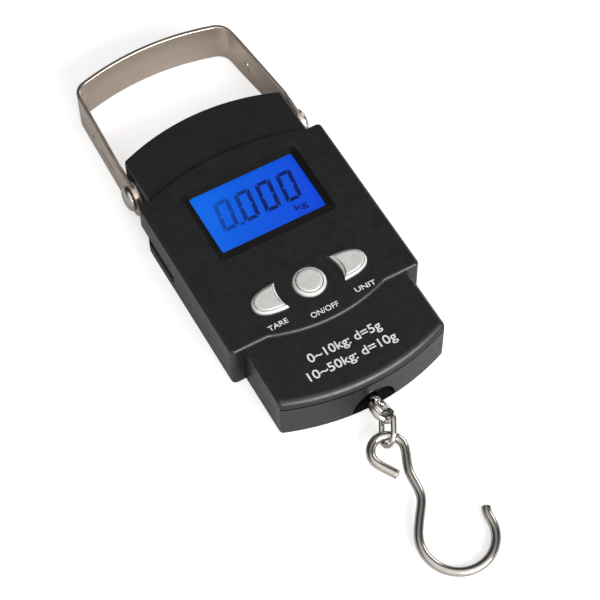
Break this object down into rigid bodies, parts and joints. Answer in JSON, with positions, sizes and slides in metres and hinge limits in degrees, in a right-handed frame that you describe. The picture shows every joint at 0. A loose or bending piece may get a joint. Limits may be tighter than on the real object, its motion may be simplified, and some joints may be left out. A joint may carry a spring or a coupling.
{
  "type": "digital fish scale",
  "caption": "Hand-held digital hanging scale with a lit display, three press buttons, a swinging steel strap handle, a linked hook and a pull-out tape measure",
  "frame": {"origin": "on the case's back face, in the middle of the wide part of the case", "axes": "X across the display towards the battery door, Y from the hook towards the handle, Z out of the display; the scale lies on its back"},
  "size_m": [0.0666, 0.2115, 0.0197],
  "materials": {
    "case_black": "satin moulded",
    "inner_dark": "moulded",
    "handle_steel": "brushed along the strap",
    "nickel": "bright nickel plated",
    "zinc_steel": "zinc plated",
    "aluminium": "machined",
    "button_silver": "silver painted",
    "window_clear": "clear polished",
    "lcd_glass": "blue backlit",
    "diffuser": "milky",
    "board_green": "solder mask",
    "rubber": "plain",
    "epoxy": "moulded",
    "gauge_foil": "polyimide film",
    "battery_sleeve": "printed sleeve",
    "tape_yellow": "painted",
    "wire_red": "insulated",
    "nylon": "moulded"
  },
  "bodies": {
    "case": {"backlight_panel": "diffuser", "battery_1": "battery_sleeve", "battery_2": "battery_sleeve", "battery_contact_1": "nickel", "battery_contact_2": "nickel", "battery_holder": "inner_dark", "battery_spring_1": "nickel", "battery_spring_2": "nickel", "battery_wire_black": "epoxy", "battery_wire_red": "wire_red", "board_screw_1": "zinc_steel", "board_screw_2": "zinc_steel", "board_screw_3": "zinc_steel", "board_screw_4": "zinc_steel", "case_screw_1": "zinc_steel", "case_screw_2": "zinc_steel", "case_screw_3": "zinc_steel", "case_screw_4": "zinc_steel", "circuit_board": "board_green", "controller_chip": "epoxy", "cross_bar": "zinc_steel", "display_window": "window_clear", "eye_nut": "zinc_steel", "front_case": "case_black", "handle_pivot_left": "nickel", "handle_pivot_right": "nickel", "hook_eye": "nickel", "lcd_connector_strip": "rubber", "lcd_panel": "lcd_glass", "load_cell": "aluminium", "load_cell_cable": "rubber", "load_cell_screw_1": "zinc_steel", "load_cell_screw_2": "zinc_steel", "pivot_washer_left": "nylon", "pivot_washer_right": "nylon", "power_switch": "epoxy", "rear_case": "case_black", "strain_gauge_1": "gauge_foil", "strain_gauge_2": "gauge_foil", "tape_axle": "zinc_steel", "tape_cover": "inner_dark", "tare_switch": "epoxy", "unit_switch": "epoxy"},
    "handle": {"handle": "handle_steel"},
    "tare_button": {"tare_button": "button_silver"},
    "power_button": {"power_button": "button_silver"},
    "unit_button": {"unit_button": "button_silver"},
    "link": {"connecting_link": "nickel"},
    "hook": {"hook": "nickel"},
    "battery_door": {"battery_door": "case_black"},
    "tape": {"tape_tab": "inner_dark", "tape_blade": "tape_yellow"},
    "reel": {"tape_reel": "inner_dark", "tape_coil": "tape_yellow", "tape_return_spring": "zinc_steel"}
  },
  "joints": [
    {"name": "handle_swing", "type": "hinge", "parent": "case", "child": "handle", "pos_m": [0, 0.0415, 0.0082], "axis": [1, 0, 0], "range_deg": [-110, 95]},
    {"name": "tare_press", "type": "slide", "parent": "case", "child": "tare_button", "axis": [0, 0, -1], "range_m": [0, 0.0007], "stiffness_N_per_m": 400, "springref_m": -0.0005},
    {"name": "power_press", "type": "slide", "parent": "case", "child": "power_button", "axis": [0, 0, -1], "range_m": [0, 0.0007], "stiffness_N_per_m": 400, "springref_m": -0.0005},
    {"name": "unit_press", "type": "slide", "parent": "case", "child": "unit_button", "axis": [0, 0, -1], "range_m": [0, 0.0007], "stiffness_N_per_m": 400, "springref_m": -0.0005},
    {"name": "link_swing", "type": "hinge", "parent": "case", "child": "link", "pos_m": [0, -0.0679, 0.006], "axis": [-0.7071, 0, 0.7071], "range_deg": [-60, 60]},
    {"name": "hook_turn", "type": "hinge", "parent": "link", "child": "hook", "pos_m": [-0.0048, -0.0764, 0.00438], "axis": [0, -0.0649, 0.9979], "range_deg": [-50, 50]},
    {"name": "battery_door_slide", "type": "slide", "parent": "case", "child": "battery_door", "axis": [1, 0, 0], "range_m": [0, 0.026]},
    {"name": "tape_pull", "type": "slide", "parent": "case", "child": "tape", "axis": [-1, 0, 0], "range_m": [0, 1], "stiffness_N_per_m": 1.5, "springref_m": -0.6},
    {"name": "reel_spin", "type": "hinge", "parent": "case", "child": "reel", "pos_m": [-0.0186, 0.0074, 0.005], "axis": [0, 0, 1], "range_deg": [0, 9720]}
  ],
  "couplings": [
    {"joint": "reel_spin", "follows": "tape_pull", "rad_per_m": 169.5}
  ]
}
